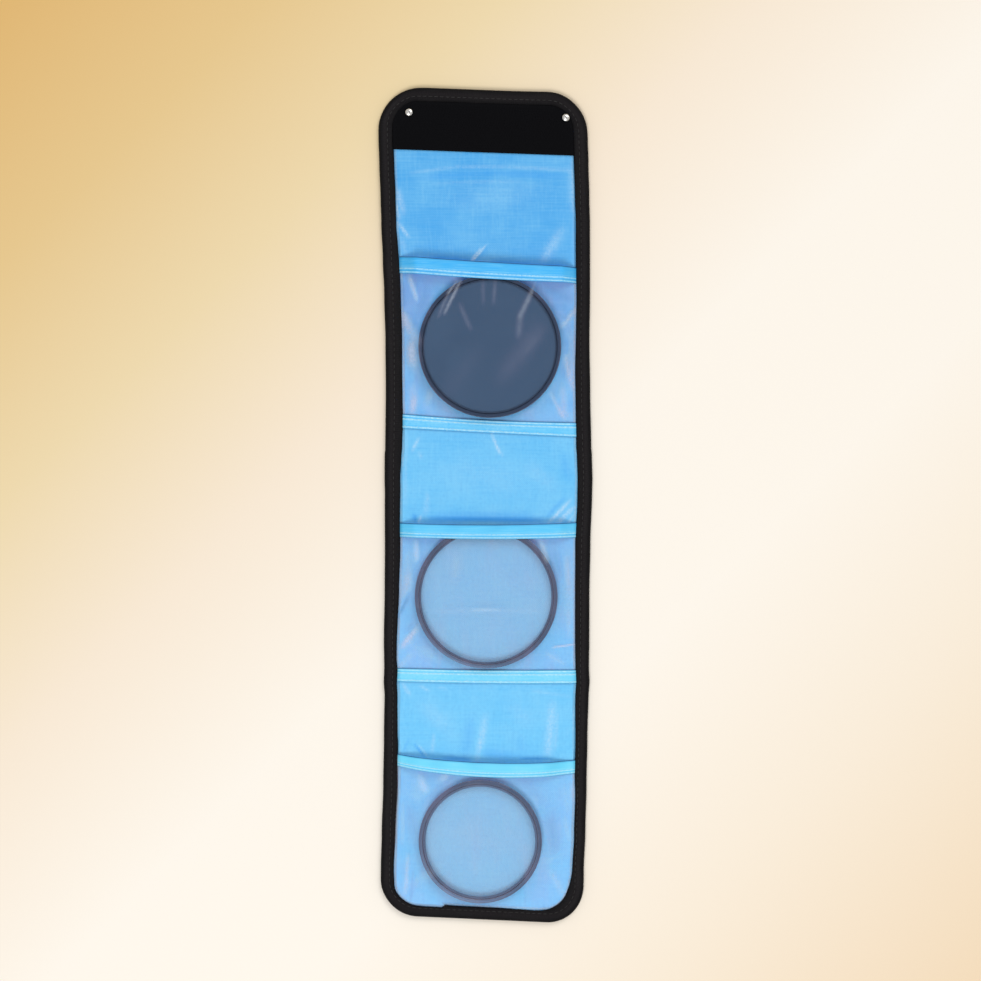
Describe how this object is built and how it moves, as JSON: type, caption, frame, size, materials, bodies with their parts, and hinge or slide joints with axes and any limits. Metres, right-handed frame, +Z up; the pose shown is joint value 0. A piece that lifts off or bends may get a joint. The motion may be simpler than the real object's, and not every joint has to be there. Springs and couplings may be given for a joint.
{
  "type": "lens filter case",
  "caption": "Padded folding wallet for round screw-in lens filters, open and flat: clear film pockets on bound panels, with a hook-tape closing flap.",
  "frame": {"origin": "middle of the open case, on the surface that its back lies on", "axes": "+Y along the open case from the lower panel to the flap, +Z up out of the lining, +X to the right when the flap is at the top"},
  "size_m": [0.116, 0.4684, 0.0114],
  "materials": {
    "pack_cloth": "black woven nylon pack cloth, matt",
    "padding": "closed-cell foam sheet",
    "lining_cloth": "bright blue nylon taffeta, faint sheen",
    "binding_tape": "black woven edge binding",
    "hook_tape": "black hook tape",
    "loop_tape": "black loop tape, napped",
    "pocket_film": "soft clear vinyl film, slightly cloudy",
    "pocket_tape": "bright blue folded nylon tape",
    "rivet_metal": "bright nickel-plated brass",
    "ring_metal": "black anodised, satin",
    "clear_glass": "coated clear optical glass",
    "dark_glass": "dark polarising glass"
  },
  "bodies": {
    "lower_panel": {"lower_panel_shell": "pack_cloth", "lower_panel_foam": "padding", "lower_panel_lining": "lining_cloth", "lower_panel_binding": "binding_tape", "lower_pocket_film": "pocket_film", "lower_mouth_tape": "pocket_tape"},
    "lower_spine": {"lower_spine_shell": "pack_cloth", "lower_spine_foam": "padding", "lower_spine_lining": "lining_cloth", "lower_spine_binding_left": "binding_tape", "lower_spine_binding_right": "binding_tape"},
    "middle_panel": {"middle_panel_shell": "pack_cloth", "middle_panel_foam": "padding", "middle_panel_lining": "lining_cloth", "middle_panel_binding_left": "binding_tape", "middle_panel_binding_right": "binding_tape", "middle_foot_tape": "pocket_tape", "middle_pocket_film": "pocket_film", "middle_mouth_tape": "pocket_tape", "loop_patch": "loop_tape"},
    "upper_spine": {"upper_spine_shell": "pack_cloth", "upper_spine_foam": "padding", "upper_spine_lining": "lining_cloth", "upper_spine_binding_left": "binding_tape", "upper_spine_binding_right": "binding_tape"},
    "upper_panel": {"upper_panel_shell": "pack_cloth", "upper_panel_foam": "padding", "upper_panel_lining": "lining_cloth", "upper_panel_binding_left": "binding_tape", "upper_panel_binding_right": "binding_tape", "upper_foot_tape": "pocket_tape", "upper_pocket_film": "pocket_film", "upper_mouth_tape": "pocket_tape"},
    "flap_spine": {"flap_spine_shell": "pack_cloth", "flap_spine_foam": "padding", "flap_spine_lining": "lining_cloth", "flap_spine_binding_left": "binding_tape", "flap_spine_binding_right": "binding_tape"},
    "flap": {"flap_shell": "pack_cloth", "flap_foam": "padding", "flap_lining": "lining_cloth", "flap_binding": "binding_tape", "hook_strip": "hook_tape", "rivet_left": "rivet_metal", "rivet_right": "rivet_metal"},
    "polariser": {"polariser_mount_ring": "ring_metal"},
    "polariser_front": {"polariser_turning_ring": "ring_metal", "polariser_glass": "dark_glass", "polariser_retaining_ring": "ring_metal"},
    "large_clear_filter": {"large_clear_filter_ring": "ring_metal", "large_clear_filter_glass": "clear_glass", "large_clear_filter_retaining_ring": "ring_metal"},
    "small_clear_filter": {"small_clear_filter_ring": "ring_metal", "small_clear_filter_glass": "clear_glass", "small_clear_filter_retaining_ring": "ring_metal"}
  },
  "joints": [
    {"name": "upper_spine_fold", "type": "hinge", "parent": "upper_panel", "child": "upper_spine", "pos_m": [0, 0.0373, 0.004], "axis": [-1, 0, 0], "range_deg": [0, 90]},
    {"name": "middle_panel_fold", "type": "hinge", "parent": "upper_spine", "child": "middle_panel", "pos_m": [0, 0.0133, 0.004], "axis": [-1, 0, 0], "range_deg": [0, 90]},
    {"name": "lower_spine_fold", "type": "hinge", "parent": "middle_panel", "child": "lower_spine", "pos_m": [0, -0.1052, 0.004], "axis": [-1, 0, 0], "range_deg": [0, 90]},
    {"name": "lower_panel_fold", "type": "hinge", "parent": "lower_spine", "child": "lower_panel", "pos_m": [0, -0.1172, 0.004], "axis": [-1, 0, 0], "range_deg": [0, 90]},
    {"name": "flap_spine_fold", "type": "hinge", "parent": "upper_panel", "child": "flap_spine", "pos_m": [0, 0.1613, 0.004], "axis": [1, 0, 0], "range_deg": [0, 90]},
    {"name": "flap_fold", "type": "hinge", "parent": "flap_spine", "child": "flap", "pos_m": [0, 0.1922, 0.004], "axis": [1, 0, 0], "range_deg": [0, 90]},
    {"name": "polariser_draw", "type": "slide", "parent": "upper_panel", "child": "polariser", "axis": [0, -1, 0], "range_m": [-0.068, 0]},
    {"name": "polariser_turn", "type": "hinge", "parent": "polariser", "child": "polariser_front", "pos_m": [0.002, 0.0883, 0.0041], "axis": [0, 0, 1], "continuous": true},
    {"name": "large_filter_draw", "type": "slide", "parent": "middle_panel", "child": "large_clear_filter", "axis": [0, -1, 0], "range_m": [-0.05, 0]},
    {"name": "small_filter_draw", "type": "slide", "parent": "lower_panel", "child": "small_clear_filter", "axis": [0, -1, 0], "range_m": [-0.053, 0]}
  ],
  "couplings": [
    {"joint": "middle_panel_fold", "follows": "upper_spine_fold", "ratio": 1},
    {"joint": "lower_panel_fold", "follows": "lower_spine_fold", "ratio": 1},
    {"joint": "flap_fold", "follows": "flap_spine_fold", "ratio": 1}
  ]
}
